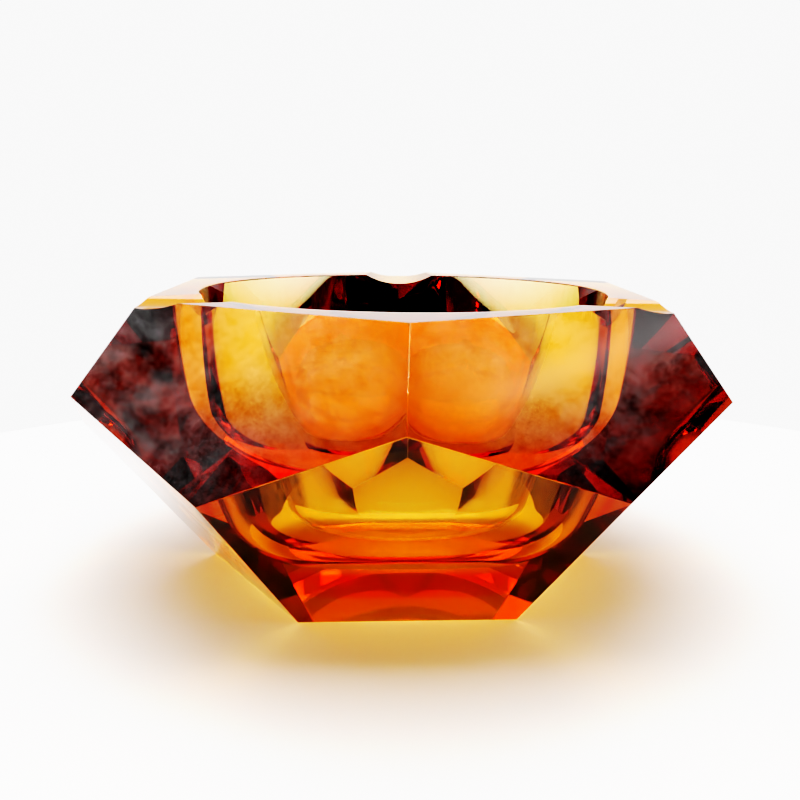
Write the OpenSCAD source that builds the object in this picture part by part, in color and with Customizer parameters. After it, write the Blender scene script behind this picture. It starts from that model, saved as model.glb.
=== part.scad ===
// Faceted art glass bowl: a round well in a thick glass body, six crown facets over six pavilion facets turned
// half a step, a flat polished top with three shallow rests, and a flat base. The body is three gathers of
// glass, one inside the other. +Z is up, and the origin is the middle of the base.

/* [Body] */
// Height from the base to the polished top
bowl_h = 68; // [56:0.5:82]
// Corner radius of the top hexagon
top_corner_r = 65; // [54:0.5:80]
// Lean of the crown facets from upright, in degrees
crown_lean = 34; // [26:0.5:42]
// Corner radius of the base hexagon
base_corner_r = 47.5; // [38:0.5:58]
// Lean of the pavilion facets from upright, in degrees
pavilion_lean = 38; // [30:0.5:46]
// How far the hand-cut facets wander from true, as a multiple of the wander lists
hand_wander = 1; // [0:0.1:1.5]

/* [Well] */
// Glass left between the well and the middle of a top side
rim_wall = 7.3; // [6:0.1:12]
// Glass left under the well
floor_t = 20; // [15:0.5:26]
// Radius of the arc that the well's wall follows
wall_arc_r = 200; // [150:5:300]
// Draft of the well's wall at the rim, in degrees
rim_draft = 8.5; // [6:0.5:11]
// Radius where the wall turns into the well's floor
well_corner_r = 22; // [14:0.5:27]

/* [Gathers] */
// Thickness of the inner gather, which lines the well
lining_t = 2.5; // [1.5:0.1:3]
// Thickness of the heart gather in the wall
heart_t = 2; // [1.2:0.1:2.5]
// Extra thickness of the heart gather under the well
heart_floor_extra = 6; // [2:0.5:7]

/* [Rests] */
// Radius of the wheel that grinds a rest
rest_wheel_r = 19; // [12:0.5:24]
// Depth of a rest at the well's edge
rest_inner_depth = 2.6; // [1:0.1:4]
// Depth of a rest at the outer corner
rest_outer_depth = 1.6; // [0.5:0.1:3]

/* [Hidden] */
$fn = 180;

SIDES = 6;
FACET_STEP = 360 / SIDES;
REST_AZIMUTHS = [90, 210, 330];
// Hand-cut wander of each facet, counted from +X: turn about the upright axis and change of lean, in degrees
CROWN_TURN = [-1, 0.5, -0.5, -0.5, -1.5, 0.5];
CROWN_WANDER = [-0.5, -2.5, -2.5, 0.5, 0, -1.5];
PAVILION_TURN = [0.5, -1, 0, 0.5, 2, 0.5];
PAVILION_WANDER = [0, 0.5, -0.5, 0.5, -1, 0];
// Overrun of a cut past the surface it opens
over = 5;

top_apothem = top_corner_r * cos(FACET_STEP / 2);
base_apothem = base_corner_r * cos(FACET_STEP / 2);
blank_r = top_corner_r + bowl_h * tan(crown_lean) + over;
cut_size = 4 * blank_r;

well_rim_r = top_apothem - rim_wall;
wall_centre_r = well_rim_r - wall_arc_r * cos(rim_draft);
wall_centre_z = bowl_h + wall_arc_r * sin(rim_draft);
well_corner_z = floor_t + well_corner_r;

// Radius at which a gather's corner arc is centred, so that it runs smoothly into its wall arc
function corner_centre_r(drop) =
    wall_centre_r + sqrt(pow(wall_arc_r - well_corner_r, 2) - pow(wall_centre_z - well_corner_z + drop, 2));

// Height at which a gather's wall arc hands over to its corner arc
function handover_z(grow, drop) =
    wall_centre_z - (wall_centre_z - well_corner_z + drop) * (wall_arc_r + grow) / (wall_arc_r - well_corner_r);

// Half outline of the well, grown by a wall thickness, with its floor dropped further
module gather_outline(grow, drop) {
    corner_r = corner_centre_r(drop);
    corner_z = well_corner_z - drop;
    low_z = floor_t - grow - drop;
    turn_z = handover_z(grow, drop);
    intersection() {
        translate([0, low_z])
            square([blank_r, bowl_h + over - low_z]);
        union() {
            intersection() {
                translate([wall_centre_r, wall_centre_z])
                    circle(r = wall_arc_r + grow, $fn = 4 * $fn);
                translate([0, turn_z])
                    square([blank_r, bowl_h + over - turn_z]);
            }
            translate([corner_r, corner_z])
                circle(r = well_corner_r + grow);
            translate([0, low_z])
                square([corner_r, turn_z - low_z]);
        }
    }
}

module gather_form(grow, drop) {
    rotate_extrude()
        gather_outline(grow, drop);
}

// Takes away all glass outside one flat facet, which passes through a level edge at the given apothem and height
module facet_cut(azimuth, apothem, edge_z, lean) {
    rotate([0, 0, azimuth])
        translate([apothem, 0, edge_z])
            rotate([0, -lean, 0])
                translate([0, -cut_size / 2, -cut_size / 2])
                    cube(cut_size);
}

module crown_cuts() {
    for (i = [0 : SIDES - 1])
        facet_cut(
            i * FACET_STEP + hand_wander * CROWN_TURN[i],
            top_apothem,
            bowl_h,
            crown_lean + hand_wander * CROWN_WANDER[i]
        );
}

module pavilion_cuts() {
    for (i = [0 : SIDES - 1])
        facet_cut(
            (i + 0.5) * FACET_STEP + hand_wander * PAVILION_TURN[i],
            base_apothem,
            0,
            -(pavilion_lean + hand_wander * PAVILION_WANDER[i])
        );
}

// The three shallow rests: a round wheel run in from the well's edge to a corner, rising as it goes
module rest_cuts() {
    run = top_corner_r - well_rim_r;
    rise = atan((rest_inner_depth - rest_outer_depth) / run);
    inner_r = well_rim_r - over;
    inner_z = bowl_h - rest_inner_depth - over * tan(rise);
    for (azimuth = REST_AZIMUTHS)
        rotate([0, 0, azimuth])
            translate([inner_r, 0, inner_z])
                rotate([0, 90 - rise, 0])
                    translate([-rest_wheel_r, 0, 0])
                        cylinder(r = rest_wheel_r, h = run + 4 * over);
}

module inner_gather() {
    color("#8a3406")
        difference() {
            intersection() {
                gather_form(lining_t, 0);
                cylinder(r = blank_r, h = bowl_h);
            }
            gather_form(0, 0);
            rest_cuts();
        }
}

module heart_gather() {
    color("#c25a06")
        difference() {
            intersection() {
                gather_form(lining_t + heart_t, heart_floor_extra);
                cylinder(r = blank_r, h = bowl_h);
            }
            gather_form(lining_t, 0);
            rest_cuts();
        }
}

module cut_casing() {
    color("#e8a21c")
        difference() {
            cylinder(r = blank_r, h = bowl_h);
            crown_cuts();
            pavilion_cuts();
            gather_form(lining_t + heart_t, heart_floor_extra);
            rest_cuts();
        }
}

inner_gather();
heart_gather();
cut_casing();
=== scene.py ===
"""Visual model of a faceted amber art glass bowl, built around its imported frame.

The bowl is three gathers of amber glass, one inside the other: an inner gather that lines the round well,
a heart gather that thickens the wall and the floor, and an outer casing cut into crown and pavilion facets.
Each gather is a closed solid of its own. Where two gathers are bonded their faces lie a hair apart and bend
no light, so that the three read as one lump of glass, as they do on the real bowl. Everything is in metres,
in the frame of the CAD model.
"""

import logging
import math
from dataclasses import dataclass, field
from enum import Enum

import bmesh
import bpy
from mathutils import Matrix, Vector


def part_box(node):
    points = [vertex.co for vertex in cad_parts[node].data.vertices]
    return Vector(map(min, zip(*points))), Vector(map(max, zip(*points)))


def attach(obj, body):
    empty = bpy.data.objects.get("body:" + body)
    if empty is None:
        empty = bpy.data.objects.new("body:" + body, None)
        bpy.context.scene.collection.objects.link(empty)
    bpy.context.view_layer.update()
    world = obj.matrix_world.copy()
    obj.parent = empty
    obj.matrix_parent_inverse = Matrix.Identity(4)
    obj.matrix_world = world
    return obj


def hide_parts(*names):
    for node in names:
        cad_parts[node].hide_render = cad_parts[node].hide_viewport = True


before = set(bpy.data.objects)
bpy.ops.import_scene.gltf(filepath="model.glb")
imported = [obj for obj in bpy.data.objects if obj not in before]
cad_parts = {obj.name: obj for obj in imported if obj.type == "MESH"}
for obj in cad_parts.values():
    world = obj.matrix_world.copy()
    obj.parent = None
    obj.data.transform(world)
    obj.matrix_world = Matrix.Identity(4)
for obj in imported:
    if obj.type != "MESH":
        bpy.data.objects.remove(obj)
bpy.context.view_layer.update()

LOG = logging.getLogger("bowl")
MM = 0.001
JOIN = 0.001 * MM


class Zone(Enum):
    """The kinds of glass surface that the maker leaves."""

    FACET = "cut_facet"
    WELL = "fire_polished_well"
    REST = "ground_rest"
    BOND = "bond"


# ----------------------------------------------------------------------------
# Node helpers
# ----------------------------------------------------------------------------


class Graph:
    """Short hand for filling a node tree."""

    def __init__(self, tree: bpy.types.NodeTree) -> None:
        """Starts on an empty tree.

        Args:
            tree: the tree to fill.
        """
        self.tree = tree
        tree.nodes.clear()

    def add(self, kind: str, inputs: dict | None = None, **settings: object) -> bpy.types.Node:
        """Adds a node, sets its properties and fills its sockets.

        Args:
            kind: the node's type name.
            inputs: socket name or number to a value or to an output socket.
            settings: node properties to set.

        Returns:
            The new node.
        """
        node = self.tree.nodes.new(kind)
        for name, value in settings.items():
            setattr(node, name, value)
        for key, value in (inputs or {}).items():
            socket = node.inputs[key]
            if isinstance(value, bpy.types.NodeSocket):
                self.tree.links.new(value, socket)
            else:
                socket.default_value = value
        return node

    def maths(self, operation: str, *values: object) -> bpy.types.NodeSocket:
        """Adds a math node and returns its result.

        Args:
            operation: the math node's operation.
            values: numbers or output sockets.

        Returns:
            The output socket.
        """
        return self.add("ShaderNodeMath", dict(enumerate(values)), operation=operation).outputs[0]

    def product(self, *values: object) -> bpy.types.NodeSocket:
        """Multiplies two or more numbers.

        Args:
            values: numbers or output sockets.

        Returns:
            The output socket.
        """
        result = values[0]
        for value in values[1:]:
            result = self.maths("MULTIPLY", result, value)
        return result

    def carried(self, name: str) -> bpy.types.NodeSocket:
        """Reads one number that the settings points carry.

        Args:
            name: the attribute's name.

        Returns:
            The output socket.
        """
        return self.add("GeometryNodeInputNamedAttribute", {"Name": name}, data_type="FLOAT").outputs[0]

    def rise(self, value: object, low: float, high: float) -> bpy.types.NodeSocket:
        """Rises smoothly from 0 to 1 while a value goes from low to high; high may be the lower number.

        Args:
            value: number or output socket.
            low: value that gives 0.
            high: value that gives 1.

        Returns:
            The output socket.
        """
        inputs = {"Value": value, "From Min": low, "From Max": high}
        return self.add("ShaderNodeMapRange", inputs, interpolation_type="SMOOTHSTEP").outputs[0]

    def blend(self, share: object, low: object, high: object) -> bpy.types.NodeSocket:
        """Mixes two numbers.

        Args:
            share: 0 for the low number, 1 for the high one.
            low: number or output socket.
            high: number or output socket.

        Returns:
            The output socket.
        """
        return self.add("ShaderNodeMix", {0: share, 2: low, 3: high}, data_type="FLOAT").outputs[0]


def shape_group(
    name: str, numbers: dict[str, float]
) -> tuple[bpy.types.NodeTree, Graph, bpy.types.Node]:
    """Starts a Geometry Nodes group that takes and gives a geometry.

    Args:
        name: the group's name.
        numbers: named number inputs and their defaults.

    Returns:
        The group, its graph and its input node.
    """
    group = bpy.data.node_groups.new(name, "GeometryNodeTree")
    group.interface.new_socket("Geometry", in_out="INPUT", socket_type="NodeSocketGeometry")
    for label, value in numbers.items():
        socket = group.interface.new_socket(label, in_out="INPUT", socket_type="NodeSocketFloat")
        socket.default_value = value
    group.interface.new_socket("Geometry", in_out="OUTPUT", socket_type="NodeSocketGeometry")
    graph = Graph(group)
    return group, graph, graph.add("NodeGroupInput")


def end_group(graph: Graph, geometry: bpy.types.NodeSocket) -> None:
    """Ends a Geometry Nodes group with its output node.

    Args:
        graph: the group's graph.
        geometry: the socket that holds the result.
    """
    graph.add("NodeGroupOutput", {0: geometry})


def add_shape_modifier(
    piece: bpy.types.Object, group: bpy.types.NodeTree, numbers: dict[str, float]
) -> None:
    """Puts a Geometry Nodes group on an object and sets its inputs by their identifiers.

    Args:
        piece: the object.
        group: the node group.
        numbers: input name to value.
    """
    modifier = piece.modifiers.new(group.name, "NODES")
    modifier.node_group = group
    sockets = (item for item in group.interface.items_tree if item.in_out == "INPUT")
    identifiers = {socket.name: socket.identifier for socket in sockets}
    for label, value in numbers.items():
        modifier[identifiers[label]] = value


# ----------------------------------------------------------------------------
# Finishes
# ----------------------------------------------------------------------------


@dataclass(frozen=True)
class AmberGlass:
    """One gather's glass: clear at the skin, coloured by how far light travels through it."""

    name: str
    absorbed_per_m: tuple[float, float, float]
    ior: float = 1.5
    smear: float = 0.02
    smear_scale: float = 240.0
    smear_band: tuple[float, float] = (0.55, 0.8)
    ripple: float = 0.02
    ripple_scale: float = 30.0
    ripple_depth: float = 2 * MM
    ground_haze: float = 0.03

    def absorption(self) -> tuple[tuple[float, float, float, float], float]:
        """Finds the absorption node's numbers.

        Returns:
            The colour and the density that together absorb absorbed_per_m.
        """
        density = max(self.absorbed_per_m)
        colour = tuple(1.0 - value / density for value in self.absorbed_per_m)
        return (*colour, 1.0), density

    def material(self) -> bpy.types.Material:
        """Builds this glass. It is clear where a face is bonded, and polished elsewhere.

        Returns:
            The material, with its surface and its depth of colour.
        """
        material = bpy.data.materials.new(f"{self.name}_amber_glass")
        material.use_nodes = True
        graph = Graph(material.node_tree)
        surface = graph.add("ShaderNodeBsdfPrincipled")
        surface.inputs["Base Color"].default_value = (1.0, 1.0, 1.0, 1.0)
        surface.inputs["Transmission Weight"].default_value = 1.0
        surface.inputs["IOR"].default_value = self.ior
        bonded = graph.add("ShaderNodeAttribute", attribute_name=Zone.BOND.value).outputs["Fac"]
        graph.tree.links.new(graph.maths("SUBTRACT", 1.0, bonded), surface.inputs["Alpha"])
        self._polish(graph, surface)
        colour, density = self.absorption()
        depth = graph.add("ShaderNodeVolumeAbsorption", {"Color": colour, "Density": density})
        graph.add("ShaderNodeOutputMaterial", {"Surface": surface.outputs[0], "Volume": depth.outputs[0]})
        return material

    def _polish(self, graph: Graph, surface: bpy.types.Node) -> None:
        """Adds the marks that polishing leaves: a faint ripple, and smears that dull the gloss a little.

        Args:
            graph: the material's graph.
            surface: its Principled node.
        """
        where = graph.add("ShaderNodeTexCoord").outputs["Object"]
        ground = graph.add("ShaderNodeAttribute", attribute_name=Zone.REST.value).outputs["Fac"]
        ripple = graph.add("ShaderNodeTexNoise", {"Vector": where, "Scale": self.ripple_scale, "Detail": 2.0})
        bump = graph.add(
            "ShaderNodeBump",
            {"Height": ripple.outputs[0], "Strength": self.ripple, "Distance": self.ripple_depth},
        )
        smears = graph.add("ShaderNodeTexNoise", {"Vector": where, "Scale": self.smear_scale, "Detail": 6.0})
        low, high = self.smear_band
        gloss = graph.add(
            "ShaderNodeMapRange",
            {"Value": smears.outputs[0], "From Min": low, "From Max": high, "To Max": self.smear},
        )
        dull = graph.maths("MULTIPLY_ADD", ground, self.ground_haze, gloss.outputs[0])
        graph.tree.links.new(bump.outputs[0], surface.inputs["Normal"])
        graph.tree.links.new(dull, surface.inputs["Roughness"])


# ----------------------------------------------------------------------------
# The bowl's plan
# ----------------------------------------------------------------------------


@dataclass(frozen=True)
class FacetRing:
    """One ring of flat facets, all leaning the same way but for the wander of a hand at the wheel."""

    apothem: float
    level: float
    lean: float
    first: float
    turns: tuple[float, ...]
    leans: tuple[float, ...]

    def rows(self) -> list[dict[str, float]]:
        """Returns the azimuth, lean, apothem and level of every facet, with angles in radians."""
        step = 360.0 / len(self.turns)
        return [
            {
                "azimuth": math.radians(self.first + i * step + turn),
                "lean": math.radians(self.lean + math.copysign(extra, self.lean * extra)),
                "apothem": self.apothem,
                "level": self.level,
            }
            for i, (turn, extra) in enumerate(zip(self.turns, self.leans))
        ]


@dataclass(frozen=True)
class BowlPlan:
    """The bowl's sizes, which are those of the CAD model."""

    height: float = 68 * MM
    top_corner_r: float = 65 * MM
    crown_lean: float = 34.0
    base_corner_r: float = 47.5 * MM
    pavilion_lean: float = 38.0
    rim_wall: float = 7.3 * MM
    floor_t: float = 20 * MM
    wall_arc_r: float = 200 * MM
    rim_draft: float = 8.5
    well_corner_r: float = 22 * MM
    lining_t: float = 2.5 * MM
    heart_t: float = 2 * MM
    heart_floor_extra: float = 6 * MM
    rest_wheel_r: float = 19 * MM
    rest_inner_depth: float = 2.6 * MM
    rest_outer_depth: float = 1.6 * MM
    rest_azimuths: tuple[float, ...] = (90.0, 210.0, 330.0)
    crown_turns: tuple[float, ...] = (-1, 0.5, -0.5, -0.5, -1.5, 0.5)
    crown_wander: tuple[float, ...] = (-0.5, -2.5, -2.5, 0.5, 0, -1.5)
    pavilion_turns: tuple[float, ...] = (0.5, -1, 0, 0.5, 2, 0.5)
    pavilion_wander: tuple[float, ...] = (0, 0.5, -0.5, 0.5, -1, 0)
    bond_gap: float = 0.02 * MM
    ridge_softness: float = 0.12 * MM
    ridge_angle: float = 15.0
    crisp_angle: float = 12.0
    lip_softness: float = 0.35 * MM
    over: float = 5 * MM

    @property
    def blank_r(self) -> float:
        """Radius of the blank before it is cut."""
        return self.top_corner_r + self.height * math.tan(math.radians(self.crown_lean)) + self.over

    @property
    def well_rim_r(self) -> float:
        """Radius of the well where it opens in the top."""
        return self.top_corner_r * math.cos(math.radians(30)) - self.rim_wall

    def crown(self) -> FacetRing:
        """Returns the upper ring of facets."""
        apothem = self.top_corner_r * math.cos(math.radians(30))
        return FacetRing(apothem, self.height, self.crown_lean, 0.0, self.crown_turns, self.crown_wander)

    def pavilion(self) -> FacetRing:
        """Returns the lower ring of facets, turned half a step."""
        apothem = self.base_corner_r * math.cos(math.radians(30))
        return FacetRing(apothem, 0.0, -self.pavilion_lean, 30.0, self.pavilion_turns, self.pavilion_wander)

    def outline(self, grow: float, drop: float, top: float, steps: int = 28) -> list[tuple[float, float]]:
        """Half outline of the well grown by a wall thickness, from the axis at its floor up to its rim.

        Args:
            grow: how far the outline stands outside the well.
            drop: how much further its floor lies below the well's.
            top: height at which the outline ends.
            steps: points on each arc.

        Returns:
            Radius and height of each point.
        """
        draft = math.radians(self.rim_draft)
        wall_r = self.well_rim_r - self.wall_arc_r * math.cos(draft)
        wall_z = self.height + self.wall_arc_r * math.sin(draft)
        corner_z = self.floor_t + self.well_corner_r - drop
        reach = self.wall_arc_r - self.well_corner_r
        corner_r = wall_r + math.sqrt(reach**2 - (wall_z - corner_z) ** 2)
        lean = math.asin((wall_z - corner_z) / reach)
        corner, wall = self.well_corner_r + grow, self.wall_arc_r + grow
        points = [(0.0, corner_z - corner)]
        points += [(corner_r * i / 6, corner_z - corner) for i in range(1, 6)]
        for i in range(steps + 1):
            angle = math.radians(-90) + (math.radians(90) - lean) * i / steps
            points.append((corner_r + corner * math.cos(angle), corner_z + corner * math.sin(angle)))
        end = math.asin((wall_z - top) / wall)
        for i in range(1, steps + 1):
            angle = -lean + (lean - end) * i / steps
            points.append((wall_r + wall * math.cos(angle), wall_z + wall * math.sin(angle)))
        return points


# ----------------------------------------------------------------------------
# Workshop: the Geometry Nodes groups that turn, cut and grind
# ----------------------------------------------------------------------------


def settings_mesh(name: str, rows: list[dict[str, float]]) -> bpy.types.Mesh:
    """Makes one point for each row, which carries the row's numbers as attributes.

    Args:
        name: the mesh's name.
        rows: one dict of numbers for each point.

    Returns:
        The mesh of loose points.
    """
    mesh = bpy.data.meshes.new(name)
    mesh.from_pydata([(0.0, 0.0, 0.0)] * len(rows), [], [])
    for key in rows[0]:
        attribute = mesh.attributes.new(key, "FLOAT", "POINT")
        attribute.data.foreach_set("value", [row[key] for row in rows])
    return mesh


def new_object(name: str, mesh: bpy.types.Mesh) -> bpy.types.Object:
    """Links a new object at the origin.

    Args:
        name: the object's name.
        mesh: its mesh.

    Returns:
        The object.
    """
    made = bpy.data.objects.new(name, mesh)
    bpy.context.scene.collection.objects.link(made)
    return made


@dataclass
class Workshop:
    """Holds the groups that shape the glass."""

    plan: BowlPlan
    turn_segments: int = 240
    wheel_segments: int = 360

    def facet_saw(self, finish: bpy.types.Material) -> bpy.types.NodeTree:
        """Group that cuts a round of flat facets from a square blank, one for each settings point.

        Args:
            finish: the material of the cut faces.

        Returns:
            The group.
        """
        group, graph, given = shape_group("facet_saw", {"Blank radius": 0.1, "Bowl height": 0.07})
        width = graph.maths("MULTIPLY", given.outputs["Blank radius"], 2.0)
        half_height = graph.maths("MULTIPLY", given.outputs["Bowl height"], 0.5)
        blank_size = graph.add("ShaderNodeCombineXYZ", {0: width, 1: width, 2: given.outputs["Bowl height"]})
        blank = graph.add("GeometryNodeMeshCube", {"Size": blank_size.outputs[0]})
        lift = graph.add("ShaderNodeCombineXYZ", {2: half_height})
        stood = graph.add(
            "GeometryNodeTransform", {"Geometry": blank.outputs[0], "Translation": lift.outputs[0]}
        )
        saw_width = graph.maths("MULTIPLY", given.outputs["Blank radius"], 4.0)
        saw_size = graph.add("ShaderNodeCombineXYZ", {0: saw_width, 1: saw_width, 2: saw_width})
        saw = graph.add("GeometryNodeMeshCube", {"Size": saw_size.outputs[0]})
        aside = graph.add("ShaderNodeCombineXYZ", {0: graph.maths("MULTIPLY", saw_width, 0.5)})
        edge = graph.add(
            "GeometryNodeTransform", {"Geometry": saw.outputs[0], "Translation": aside.outputs[0]}
        )
        flat = graph.add("ShaderNodeCombineXYZ", {0: graph.carried("apothem"), 2: graph.carried("level")})
        spun = graph.add(
            "ShaderNodeVectorRotate",
            {"Vector": flat.outputs[0], "Angle": graph.carried("azimuth")},
            rotation_type="Z_AXIS",
        )
        places = graph.add(
            "GeometryNodeSetPosition", {"Geometry": given.outputs[0], "Position": spun.outputs[0]}
        )
        lean = graph.maths("MULTIPLY", graph.carried("lean"), -1.0)
        angles = graph.add("ShaderNodeCombineXYZ", {1: lean, 2: graph.carried("azimuth")})
        turn = graph.add("FunctionNodeEulerToRotation", {0: angles.outputs[0]})
        saws = graph.add(
            "GeometryNodeInstanceOnPoints",
            {"Points": places.outputs[0], "Instance": edge.outputs[0], "Rotation": turn.outputs[0]},
        )
        cut = graph.add("GeometryNodeMeshBoolean", operation="DIFFERENCE", solver="EXACT")
        cut.inputs["Self Intersection"].default_value = True
        graph.tree.links.new(stood.outputs[0], cut.inputs["Mesh 1"])
        graph.tree.links.new(saws.outputs[0], cut.inputs["Mesh 2"])
        whole = graph.add("GeometryNodeRealizeInstances", {0: cut.outputs[0]})
        faced = graph.add("GeometryNodeSetMaterial", {"Geometry": whole.outputs[0], "Material": finish})
        end_group(graph, faced.outputs[0])
        return group

    def turning(self, name: str, finish: bpy.types.Material) -> bpy.types.NodeTree:
        """Group that turns a half outline, given as a chain of points, into a closed round solid.

        Args:
            name: the group's name.
            finish: the material of the turned faces.

        Returns:
            The group.
        """
        group, graph, given = shape_group(name, {"Segments": float(self.turn_segments)})
        size = graph.add("GeometryNodeAttributeDomainSize", {0: given.outputs[0]}, component="MESH")
        count = size.outputs["Point Count"]
        columns = graph.maths("ADD", given.outputs["Segments"], 1.0)
        grid = graph.add("GeometryNodeMeshGrid", {"Vertices X": columns, "Vertices Y": count})
        index = graph.add("GeometryNodeInputIndex").outputs[0]
        row = graph.maths("MODULO", index, count)
        column = graph.maths("FLOOR", graph.maths("DIVIDE", graph.maths("ADD", index, 0.5), count))
        position = graph.add("GeometryNodeInputPosition").outputs[0]
        point = graph.add(
            "GeometryNodeSampleIndex",
            {"Geometry": given.outputs[0], "Value": position, "Index": row},
            data_type="FLOAT_VECTOR",
            domain="POINT",
        )
        share = graph.maths("DIVIDE", column, given.outputs["Segments"])
        angle = graph.maths("MULTIPLY", share, 2.0 * math.pi)
        spun = graph.add(
            "ShaderNodeVectorRotate",
            {"Vector": point.outputs[0], "Angle": angle},
            rotation_type="Z_AXIS",
        )
        placed = graph.add(
            "GeometryNodeSetPosition", {"Geometry": grid.outputs[0], "Position": spun.outputs[0]}
        )
        closed = graph.add("GeometryNodeMergeByDistance", {"Geometry": placed.outputs[0], "Distance": JOIN})
        smooth = graph.add("GeometryNodeSetShadeSmooth", {"Geometry": closed.outputs[0]})
        whole = graph.add("GeometryNodeRealizeInstances", {0: smooth.outputs[0]})
        faced = graph.add("GeometryNodeSetMaterial", {"Geometry": whole.outputs[0], "Material": finish})
        end_group(graph, faced.outputs[0])
        return group

    def hollowing(self, name: str, form: bpy.types.Object) -> bpy.types.NodeTree:
        """Group that takes another solid out of the piece, and leaves each cut face that solid's mark.

        Args:
            name: the group's name.
            form: the solid to take out.

        Returns:
            The group.
        """
        group, graph, given = shape_group(name, {})
        inside = graph.add("GeometryNodeObjectInfo", {"Object": form}, transform_space="RELATIVE")
        cut = graph.add("GeometryNodeMeshBoolean", operation="DIFFERENCE", solver="EXACT")
        graph.tree.links.new(given.outputs[0], cut.inputs["Mesh 1"])
        graph.tree.links.new(inside.outputs["Geometry"], cut.inputs["Mesh 2"])
        whole = graph.add("GeometryNodeRealizeInstances", {0: cut.outputs[0]})
        end_group(graph, whole.outputs[0])
        return group

    def rest_wheels(self, finish: bpy.types.Material) -> bpy.types.NodeTree:
        """Group that makes the wheels which grind the rests, one for each settings point.

        Args:
            finish: the material that a wheel leaves.

        Returns:
            The group.
        """
        numbers = {
            "Wheel radius": 0.02,
            "Run": 0.04,
            "Start radius": 0.044,
            "Start height": 0.065,
            "Rise": 0.06,
        }
        group, graph, given = shape_group("rest_wheels", numbers)
        size = given.outputs
        wheel = graph.add(
            "GeometryNodeMeshCylinder",
            {"Vertices": self.wheel_segments, "Radius": size["Wheel radius"], "Depth": size["Run"]},
        )
        aside = graph.maths("MULTIPLY", size["Wheel radius"], -1.0)
        shift = graph.add("ShaderNodeCombineXYZ", {0: aside, 2: graph.maths("MULTIPLY", size["Run"], 0.5)})
        seated = graph.add(
            "GeometryNodeTransform", {"Geometry": wheel.outputs[0], "Translation": shift.outputs[0]}
        )
        start = graph.add("ShaderNodeCombineXYZ", {0: size["Start radius"], 2: size["Start height"]})
        azimuth = graph.carried("azimuth")
        spun = graph.add(
            "ShaderNodeVectorRotate", {"Vector": start.outputs[0], "Angle": azimuth}, rotation_type="Z_AXIS"
        )
        places = graph.add(
            "GeometryNodeSetPosition", {"Geometry": given.outputs[0], "Position": spun.outputs[0]}
        )
        tilt = graph.maths("SUBTRACT", math.pi / 2, size["Rise"])
        angles = graph.add("ShaderNodeCombineXYZ", {1: tilt, 2: azimuth})
        turn = graph.add("FunctionNodeEulerToRotation", {0: angles.outputs[0]})
        wheels = graph.add(
            "GeometryNodeInstanceOnPoints",
            {"Points": places.outputs[0], "Instance": seated.outputs[0], "Rotation": turn.outputs[0]},
        )
        whole = graph.add("GeometryNodeRealizeInstances", {0: wheels.outputs[0]})
        smooth = graph.add("GeometryNodeSetShadeSmooth", {"Geometry": whole.outputs[0]})
        faced = graph.add("GeometryNodeSetMaterial", {"Geometry": smooth.outputs[0], "Material": finish})
        end_group(graph, faced.outputs[0])
        return group


def finished_copy(name: str, source: bpy.types.Object) -> bpy.types.Object:
    """Turns an object with its modifiers into a plain piece at the origin.

    Args:
        name: the piece's name.
        source: the object to take the shape from.

    Returns:
        The piece.
    """
    graph = bpy.context.evaluated_depsgraph_get()
    mesh = bpy.data.meshes.new_from_object(source.evaluated_get(graph), depsgraph=graph)
    mesh.name = name
    return new_object(name, mesh)


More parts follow.
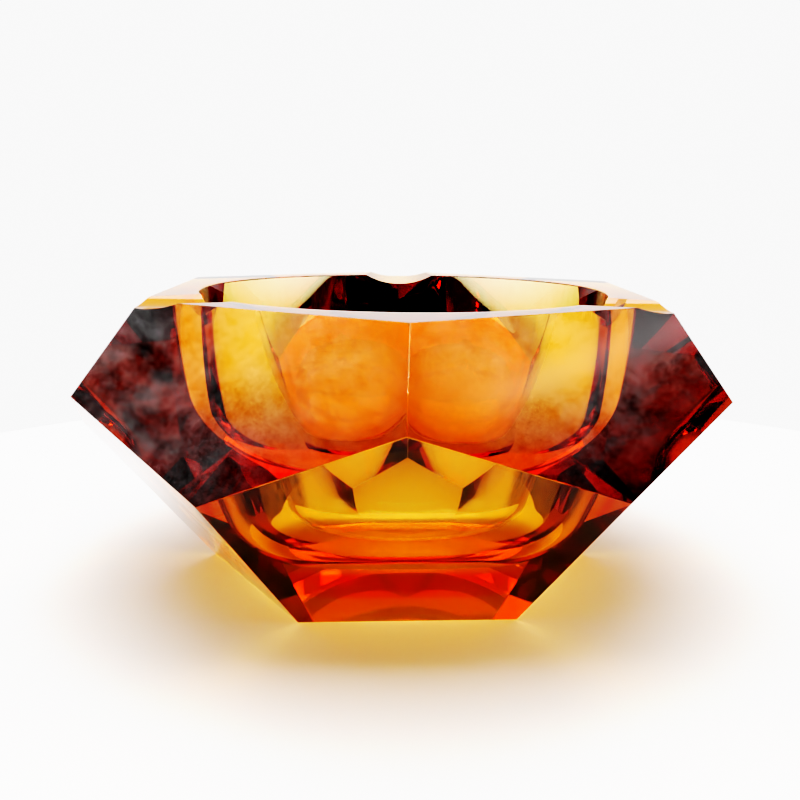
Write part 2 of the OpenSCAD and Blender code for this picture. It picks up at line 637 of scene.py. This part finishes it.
@dataclass
class Tooling:
    """The forms and wheels shared by the three gathers."""

    plan: BowlPlan
    workshop: Workshop
    lip_steps: int = 6
    marks: dict[Zone, bpy.types.Material] = field(default_factory=dict)
    helpers: list[bpy.types.Object] = field(default_factory=list)

    def __post_init__(self) -> None:
        """Makes one plain mark for each kind of surface, for the cuts to leave on their faces."""
        self.marks = {zone: bpy.data.materials.new(zone.value) for zone in Zone}

    def form(
        self, name: str, grow: float, drop: float, top: float, finish: bpy.types.Material, lip: bool = False
    ) -> bpy.types.Object:
        """Makes a round solid that follows the well.

        Args:
            name: the form's name.
            grow: how far it stands outside the well.
            drop: how much further its floor lies below the well's.
            top: height of its flat top.
            finish: the material of its skin.
            lip: whether it flares at the rim, which softens the lip it leaves.

        Returns:
            The form.
        """
        points = self._flared(grow, drop, top) if lip else self.plan.outline(grow, drop, top)
        points.append((0.0, points[-1][1]))
        chain = [(i, i + 1) for i in range(len(points) - 1)]
        mesh = bpy.data.meshes.new(name)
        mesh.from_pydata([(r, 0.0, z) for r, z in points], chain, [])
        form = new_object(name, mesh)
        add_shape_modifier(form, self.workshop.turning(f"turn_{name}", finish), {})
        made = finished_copy(f"{name}_solid", form)
        made_sound(made.data)
        self.helpers += [form, made]
        return made

    def _flared(self, grow: float, drop: float, top: float) -> list[tuple[float, float]]:
        """Outline that opens in a small quarter round at the polished top, then runs straight up.

        Args:
            grow: how far it stands outside the well.
            drop: how much further its floor lies below the well's.
            top: height of its flat top.

        Returns:
            Radius and height of each point.
        """
        plan, soft = self.plan, self.plan.lip_softness
        points = plan.outline(grow, drop, plan.height - soft)
        edge_r = points[-1][0]
        for i in range(1, self.lip_steps + 1):
            angle = math.radians(90) * i / self.lip_steps
            out, up = 1 - math.cos(angle), math.sin(angle)
            points.append((edge_r + soft * out, plan.height - soft + soft * up))
        points.append((edge_r + soft, top))
        return points

    def wheels(self, finish: bpy.types.Material) -> bpy.types.Object:
        """Makes the three wheels that grind the rests.

        Args:
            finish: the material they leave.

        Returns:
            One object that holds the wheels.
        """
        plan = self.plan
        run = plan.top_corner_r - plan.well_rim_r
        rise = math.atan((plan.rest_inner_depth - plan.rest_outer_depth) / run)
        rows = [{"azimuth": math.radians(a)} for a in plan.rest_azimuths]
        source = new_object("rest_wheel_points", settings_mesh("rest_wheel_points", rows))
        numbers = {
            "Wheel radius": plan.rest_wheel_r,
            "Run": run + 4 * plan.over,
            "Start radius": plan.well_rim_r - plan.over,
            "Start height": plan.height - plan.rest_inner_depth - plan.over * math.tan(rise),
            "Rise": rise,
        }
        add_shape_modifier(source, self.workshop.rest_wheels(finish), numbers)
        made = finished_copy("rest_wheels_solid", source)
        self.helpers += [source, made]
        return made

    def clear(self) -> None:
        """Takes the forms and wheels out of the scene."""
        for helper in self.helpers:
            bpy.data.objects.remove(helper)
        self.helpers.clear()
        for mark in self.marks.values():
            bpy.data.materials.remove(mark)


def made_sound(mesh: bpy.types.Mesh, mark: str = "") -> None:
    """Joins doubled points, closes any face that a cut left open, and turns every face outwards.

    Args:
        mesh: the mesh.
        mark: name of the mark that a closed opening gets.
    """
    work = bmesh.new()
    work.from_mesh(mesh)
    bmesh.ops.remove_doubles(work, verts=work.verts, dist=JOIN)
    closed = bmesh.ops.holes_fill(work, edges=[edge for edge in work.edges if edge.is_boundary], sides=0)
    for face in closed["faces"]:
        face.material_index = max(mesh.materials.find(mark), 0)
    bmesh.ops.recalc_face_normals(work, faces=work.faces)
    work.to_mesh(mesh)
    work.free()


@dataclass
class Gather:
    """One gather of glass: a closed solid with its own depth of colour."""

    node: str
    slot: str
    glass: AmberGlass
    plan: BowlPlan
    tooling: Tooling

    def build(self) -> bpy.types.Object:
        """Builds the piece, which each kind of gather does in its own way."""
        raise NotImplementedError

    def dress(self, piece: bpy.types.Object) -> bpy.types.Object:
        """Args:
            piece: the finished solid.

        Returns:
            The same piece.
        """
        mesh = piece.data
        names = [mark.name if mark else "" for mark in mesh.materials]
        marks = [names[face.material_index] for face in mesh.polygons]
        for zone in Zone:
            attribute = mesh.attributes.new(zone.value, "FLOAT", "FACE")
            attribute.data.foreach_set("value", [float(mark == zone.value) for mark in marks])
        mesh.polygons.foreach_set("use_smooth", [mark != Zone.FACET.value for mark in marks])
        mesh.polygons.foreach_set("material_index", [0] * len(marks))
        mesh.materials.clear()
        mesh.materials.append(self.glass.material())
        mesh.set_sharp_from_angle(angle=math.radians(self.plan.crisp_angle))
        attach(piece, "root")
        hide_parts(self.node)
        LOG.info("%s: %d faces, %.2f mm off its CAD box", piece.name, len(mesh.polygons), self._stray(mesh))
        return piece

    def _stray(self, mesh: bpy.types.Mesh) -> float:
        """Compares the piece with its CAD node.

        Args:
            mesh: the finished mesh.

        Returns:
            The largest gap between the sides of the two boxes, in millimetres.
        """
        low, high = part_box(self.node)
        places = [vertex.co for vertex in mesh.vertices]
        gaps = [abs(min(place[i] for place in places) - low[i]) for i in range(3)]
        gaps += [abs(max(place[i] for place in places) - high[i]) for i in range(3)]
        return max(gaps) / MM


@dataclass
class RoundGather(Gather):
    """A gather that is turned inside and out, with a flat polished rim."""

    outer: tuple[float, float] = (0.0, 0.0)
    inner: tuple[float, float] = (0.0, 0.0)
    lines_well: bool = False

    def build(self) -> bpy.types.Object:
        """Builds the round gather.

        Returns:
            The finished piece.
        """
        plan, dress = self.plan, self.tooling.marks
        gap = plan.bond_gap / 2
        grow, drop = self.outer
        body = self.tooling.form(f"{self.node}_body", grow - gap, drop, plan.height, dress[Zone.BOND])
        zone = Zone.WELL if self.lines_well else Zone.BOND
        grow, drop = self.inner
        grow += 0.0 if self.lines_well else gap
        above = plan.height + plan.over
        hole = self.tooling.form(f"{self.node}_hole", grow, drop, above, dress[zone], self.lines_well)
        wheels = self.tooling.wheels(dress[Zone.REST])
        for form in (hole, wheels):
            add_shape_modifier(body, self.tooling.workshop.hollowing(f"hollow_{form.name}", form), {})
        piece = finished_copy(f"{self.node}_glass", body)
        made_sound(piece.data, Zone.REST.value)
        self._face_top(piece.data, dress[Zone.FACET])
        return self.dress(piece)

    def _face_top(self, mesh: bpy.types.Mesh, finish: bpy.types.Material) -> None:
        """Gives the flat rim the polish of a cut facet.

        Args:
            mesh: the gather's mesh.
            finish: the mark of a cut facet.
        """
        mesh.materials.append(finish)
        slot = len(mesh.materials) - 1
        for face in mesh.polygons:
            if face.normal.z > 0.999 and abs(face.center.z - self.plan.height) < JOIN:
                face.material_index = slot


@dataclass
class CutCasing(Gather):
    """The outer casing, which is sawn into facets."""

    inner: tuple[float, float] = (0.0, 0.0)

    def build(self) -> bpy.types.Object:
        """Builds the casing: sawn, softened along its ridges, then hollowed and ground.

        Returns:
            The finished piece.
        """
        plan, dress = self.plan, self.tooling.marks
        rows = plan.crown().rows() + plan.pavilion().rows()
        stone = new_object("facet_points", settings_mesh("facet_points", rows))
        numbers = {"Blank radius": plan.blank_r, "Bowl height": plan.height}
        add_shape_modifier(stone, self.tooling.workshop.facet_saw(dress[Zone.FACET]), numbers)
        soften = stone.modifiers.new("soften_ridges", "BEVEL")
        soften.width = plan.ridge_softness
        soften.segments = 2
        soften.limit_method = "ANGLE"
        soften.angle_limit = math.radians(plan.ridge_angle)
        grow, drop = self.inner[0] + plan.bond_gap / 2, self.inner[1]
        hole = self.tooling.form("casing_hole", grow, drop, plan.height + plan.over, dress[Zone.BOND])
        wheels = self.tooling.wheels(dress[Zone.REST])
        for form in (hole, wheels):
            add_shape_modifier(stone, self.tooling.workshop.hollowing(f"hollow_{form.name}", form), {})
        piece = finished_copy(f"{self.node}_glass", stone)
        made_sound(piece.data, Zone.REST.value)
        self.tooling.helpers.append(stone)
        return self.dress(piece)


# ----------------------------------------------------------------------------
# Studio
# ----------------------------------------------------------------------------


@dataclass(frozen=True)
class Bearings:
    """Where a direction points in the tent, as sockets of the tent's graph."""

    height: bpy.types.NodeSocket
    behind: bpy.types.NodeSocket
    sideways: bpy.types.NodeSocket
    across: bpy.types.NodeSocket
    along: bpy.types.NodeSocket
    cloth: bpy.types.NodeSocket


@dataclass
class Studio:
    """A pale round table in a soft white light tent, and the camera.

    The tent's sizes are those of a level ceiling one unit above the bowl, and its edges are pairs of values
    between which one level of light turns into the next.
    """

    table_r: float = 220 * MM
    table_at: tuple[float, float] = (12 * MM, -18 * MM)
    table_gap: float = 0.15 * MM
    table_steps: int = 256
    table_white: float = 0.8
    table_roughness: float = 0.6
    ceiling_limit: float = 0.05
    front_light: float = 0.02
    front_edge: tuple[float, float] = (-0.8, -0.45)
    side_light: float = 0.5
    side_creases: tuple[float, float] = (0.3, 0.7)
    back_light: float = 1.75
    high_back_light: float = 1.05
    high_back_edge: tuple[float, float] = (0.2, 0.45)
    back_edge: tuple[float, float] = (0.6, 0.8)
    ceiling_light: float = 0.3
    ceiling_edge: tuple[float, float] = (0.7, 0.8)
    shoulder_light: float = 2.7
    shoulder_creases: tuple[float, float] = (0.2, 0.8)
    shoulder_inner: tuple[float, float] = (0.82, 1.0)
    shoulder_outer: tuple[float, float] = (1.8, 1.5)
    shoulder_front: tuple[float, float] = (-0.33, -0.13)
    shoulder_back: tuple[float, float] = (0.6, 0.35)
    crease_light: float = 5.0
    crease_at: float = 1.44
    crease_slant: float = 0.9
    crease_width: float = 0.11
    crease_front: tuple[float, float] = (-0.3, -0.15)
    crease_back: tuple[float, float] = (0.4, 0.2)
    top_light: float = 7.5
    panel_left: tuple[float, float] = (-0.75, -0.6)
    panel_right: tuple[float, float] = (0.64, 0.48)
    panel_front: tuple[float, float] = (-0.38, -0.22)
    panel_back: tuple[float, float] = (1.03, 0.87)
    lamp_light: float = 40.0
    lamp_rows: tuple[float, ...] = (-0.3, -0.78, -0.9)
    lamp_width: float = 0.012
    lamp_pitch: float = 0.02
    lamp_bead: tuple[float, float] = (0.007, 0.013)
    lamp_ends: tuple[float, float] = (0.7, 0.68)
    camera_at: tuple[float, float, float] = (-6.66 * MM, -237.33 * MM, 89.13 * MM)
    camera_pitch: float = -11.581
    camera_yaw: float = 1.482
    camera_roll: float = 0.666
    camera_lens: float = 43.62
    light_paths: int = 48
    clear_paths: int = 192
    brightest: float = 3.0
    contrast: tuple[tuple[float, float], ...] = (
        (0.0, 0.0),
        (0.05, 0.001),
        (0.1, 0.008),
        (0.15, 0.026),
        (0.2, 0.06),
        (0.3, 0.15),
        (0.4, 0.275),
        (0.5, 0.385),
        (0.6, 0.48),
        (0.8, 0.61),
        (1.0, 0.705),
        (1.25, 0.8),
        (1.5, 0.88),
        (1.75, 0.943),
        (2.2, 0.97),
        (3.0, 1.0),
    )

    def build(self) -> None:
        """Sets up table, light and camera."""
        self._table()
        self._tent()
        self._camera()
        self._light_paths()
        self._contrast()

    def _table(self) -> None:
        """Makes the round white table, a hair below the base."""
        mesh = bpy.data.meshes.new("table")
        turns = [2 * math.pi * i / self.table_steps for i in range(self.table_steps)]
        ring = [(self.table_r * math.cos(turn), self.table_r * math.sin(turn), 0.0) for turn in turns]
        mesh.from_pydata(ring, [], [tuple(range(self.table_steps))])
        mesh.transform(Matrix.Translation((*self.table_at, -self.table_gap)))
        table = new_object("table", mesh)
        material = bpy.data.materials.new("table_white")
        material.use_nodes = True
        graph = Graph(material.node_tree)
        white = (*(self.table_white,) * 3, 1.0)
        surface = graph.add(
            "ShaderNodeBsdfPrincipled", {"Base Color": white, "Roughness": self.table_roughness}
        )
        graph.add("ShaderNodeOutputMaterial", {"Surface": surface.outputs[0]})
        mesh.materials.append(material)

    def _tent(self) -> None:
        """Fills the surroundings with soft white light: the tent's cloth, then each light over it."""
        world = bpy.data.worlds.new("light_tent")
        world.use_nodes = True
        bpy.context.scene.world = world
        graph = Graph(world.node_tree)
        seen = self._bearings(graph)
        level = self._cloth(graph, seen)
        for light_over in (self._shoulders, self._crease, self._panel, self._lamps):
            level = light_over(graph, seen, level)
        light = graph.add("ShaderNodeBackground", {"Color": (1.0, 1.0, 1.0, 1.0), "Strength": level})
        graph.add("ShaderNodeOutputWorld", {"Surface": light.outputs[0]})

    def _bearings(self, graph: Graph) -> Bearings:
        """Reads a direction: its height, how far behind it points, and where it meets the ceiling.

        Args:
            graph: the tent's graph.

        Returns:
            The direction's bearings.
        """
        way = graph.add("ShaderNodeTexCoord").outputs["Generated"]
        x, y, z = graph.add("ShaderNodeSeparateXYZ", {0: way}).outputs
        flat = graph.maths("POWER", graph.maths("SUBTRACT", 1.0, graph.product(z, z)), 0.5)
        behind = graph.maths("DIVIDE", y, graph.maths("MAXIMUM", flat, 0.01))
        overhead = graph.maths("MAXIMUM", z, self.ceiling_limit)
        sideways = graph.maths("DIVIDE", x, overhead)
        across = graph.maths("ABSOLUTE", sideways)
        along = graph.maths("DIVIDE", y, overhead)
        cloth = graph.add(
            "ShaderNodeTexNoise", {"Vector": way, "Scale": 26.0, "Detail": 6.0, "Roughness": 0.75}
        )
        return Bearings(z, behind, sideways, across, along, cloth.outputs[0])

    def _cloth(self, graph: Graph, seen: Bearings) -> bpy.types.NodeSocket:
        """Lights the cloth: dark in front, dim and creased at the sides, pale behind, dim overhead.

        Args:
            graph: the tent's graph.
            seen: the direction's bearings.

        Returns:
            The level of light.
        """
        sides = graph.product(graph.rise(seen.cloth, *self.side_creases), 2.0 * self.side_light)
        level = graph.blend(graph.rise(seen.behind, *self.front_edge), self.front_light, sides)
        high = graph.rise(seen.height, *self.high_back_edge)
        backdrop = graph.blend(high, self.back_light, self.high_back_light)
        level = graph.blend(graph.rise(seen.behind, *self.back_edge), level, backdrop)
        return graph.blend(graph.rise(seen.height, *self.ceiling_edge), level, self.ceiling_light)

    def _shoulders(
        self, graph: Graph, seen: Bearings, level: bpy.types.NodeSocket
    ) -> bpy.types.NodeSocket:
        """Adds the creased shoulders, where the tent's cloth turns from side to ceiling.

        Args:
            graph: the tent's graph.
            seen: the direction's bearings.
            level: the level of light so far.

        Returns:
            The new level of light.
        """
        share = graph.product(
            graph.rise(seen.across, *self.shoulder_inner),
            graph.rise(seen.across, *self.shoulder_outer),
            graph.rise(seen.along, *self.shoulder_front),
            graph.rise(seen.along, *self.shoulder_back),
        )
        creased = graph.product(graph.rise(seen.cloth, *self.shoulder_creases), 2.0 * self.shoulder_light)
        return graph.blend(share, level, creased)

    def _crease(self, graph: Graph, seen: Bearings, level: bpy.types.NodeSocket) -> bpy.types.NodeSocket:
        """Adds the one bright fold that slants across the right shoulder.

        Args:
            graph: the tent's graph.
            seen: the direction's bearings.
            level: the level of light so far.

        Returns:
            The new level of light.
        """
        slanted = graph.maths("MULTIPLY_ADD", seen.along, -self.crease_slant, seen.sideways)
        offset = graph.maths("ABSOLUTE", graph.maths("SUBTRACT", slanted, self.crease_at))
        share = graph.product(
            graph.rise(offset, self.crease_width, 0.0),
            graph.rise(seen.along, *self.crease_front),
            graph.rise(seen.along, *self.crease_back),
        )
        return graph.blend(share, level, self.crease_light)

    def _panel(self, graph: Graph, seen: Bearings, level: bpy.types.NodeSocket) -> bpy.types.NodeSocket:
        """Adds the bright panel in the ceiling.

        Args:
            graph: the tent's graph.
            seen: the direction's bearings.
            level: the level of light so far.

        Returns:
            The new level of light.
        """
        share = graph.product(
            graph.rise(seen.sideways, *self.panel_left),
            graph.rise(seen.sideways, *self.panel_right),
            graph.rise(seen.along, *self.panel_front),
            graph.rise(seen.along, *self.panel_back),
        )
        return graph.blend(share, level, self.top_light)

    def _lamps(self, graph: Graph, seen: Bearings, level: bpy.types.NodeSocket) -> bpy.types.NodeSocket:
        """Adds the rows of small round lamps that cross the ceiling.

        Args:
            graph: the tent's graph.
            seen: the direction's bearings.
            level: the level of light so far.

        Returns:
            The new level of light.
        """
        bead = graph.rise(graph.maths("PINGPONG", seen.across, self.lamp_pitch), *self.lamp_bead)
        lit = graph.product(bead, graph.rise(seen.across, *self.lamp_ends))
        for row in self.lamp_rows:
            offset = graph.maths("ABSOLUTE", graph.maths("SUBTRACT", seen.along, row))
            in_row = graph.rise(offset, self.lamp_width, self.lamp_width * 0.5)
            level = graph.blend(graph.product(lit, in_row), level, self.lamp_light)
        return level

    def _camera(self) -> None:
        """Places the camera."""
        data = bpy.data.cameras.new("camera")
        data.sensor_width = 36.0
        data.lens = self.camera_lens
        data.clip_start = 0.01
        camera = bpy.data.objects.new("camera", data)
        bpy.context.scene.collection.objects.link(camera)
        pitch, yaw, roll = (math.radians(v) for v in (self.camera_pitch, self.camera_yaw, self.camera_roll))
        level_ahead = Vector((math.sin(yaw), math.cos(yaw), 0.0))
        ahead = math.cos(pitch) * level_ahead + Vector((0.0, 0.0, math.sin(pitch)))
        level_right = Vector((math.cos(yaw), -math.sin(yaw), 0.0))
        level_up = level_right.cross(ahead)
        right = math.cos(roll) * level_right + math.sin(roll) * level_up
        up = -math.sin(roll) * level_right + math.cos(roll) * level_up
        facing = Matrix((right, up, -ahead)).transposed().to_4x4()
        camera.matrix_world = Matrix.Translation(self.camera_at) @ facing
        bpy.context.scene.camera = camera

    def _light_paths(self) -> None:
        """Lets light run long enough inside the glass to be swallowed by its colour."""
        cycles = bpy.context.scene.cycles
        cycles.max_bounces = self.light_paths
        cycles.glossy_bounces = self.light_paths
        cycles.transmission_bounces = self.light_paths
        cycles.diffuse_bounces = 3
        cycles.blur_glossy = 0.0
        cycles.transparent_max_bounces = self.clear_paths

    def _contrast(self) -> None:
        """Sets the contrast of the view: deep shadows, and a soft shoulder up to the lamps' white."""
        view = bpy.context.scene.view_settings
        view.view_transform = "Standard"
        view.use_curve_mapping = True
        mapping = view.curve_mapping
        mapping.white_level = (self.brightest,) * 3
        points = mapping.curves[3].points
        for bright, shown in self.contrast[1:-1]:
            points.new(bright / self.brightest, shown)
        points[0].location = self.contrast[0]
        points[len(points) - 1].location = (1.0, self.contrast[-1][1])
        mapping.update()


# ----------------------------------------------------------------------------
# The bowl
# ----------------------------------------------------------------------------


@dataclass
class Bowl:
    """The whole bowl: three gathers, each with its own depth of colour."""

    plan: BowlPlan = BowlPlan()
    inner_glass: AmberGlass = AmberGlass("inner", (3.0, 5.0, 55.0))
    heart_glass: AmberGlass = AmberGlass("heart", (6.0, 42.0, 110.0))
    casing_glass: AmberGlass = AmberGlass("casing", (7.5, 25.0, 74.0))

    def build(self) -> None:
        """Builds the gathers from the well outwards, then puts the tools away."""
        plan = self.plan
        tooling = Tooling(plan, Workshop(plan))
        lined = (plan.lining_t, 0.0)
        cored = (plan.lining_t + plan.heart_t, plan.heart_floor_extra)
        inner = RoundGather(
            "inner_gather", "well_amber", self.inner_glass, plan, tooling, outer=lined, lines_well=True
        )
        heart = RoundGather(
            "heart_gather", "heart_amber", self.heart_glass, plan, tooling, outer=cored, inner=lined
        )
        casing = CutCasing("cut_casing", "casing_amber", self.casing_glass, plan, tooling, inner=cored)
        for gather in (inner, heart, casing):
            gather.build()
        tooling.clear()


def main() -> None:
    """Builds the bowl and its studio."""
    logging.basicConfig(level=logging.INFO, format="%(name)s: %(message)s")
    Bowl().build()
    Studio().build()


if __name__ == "__main__":
    main()
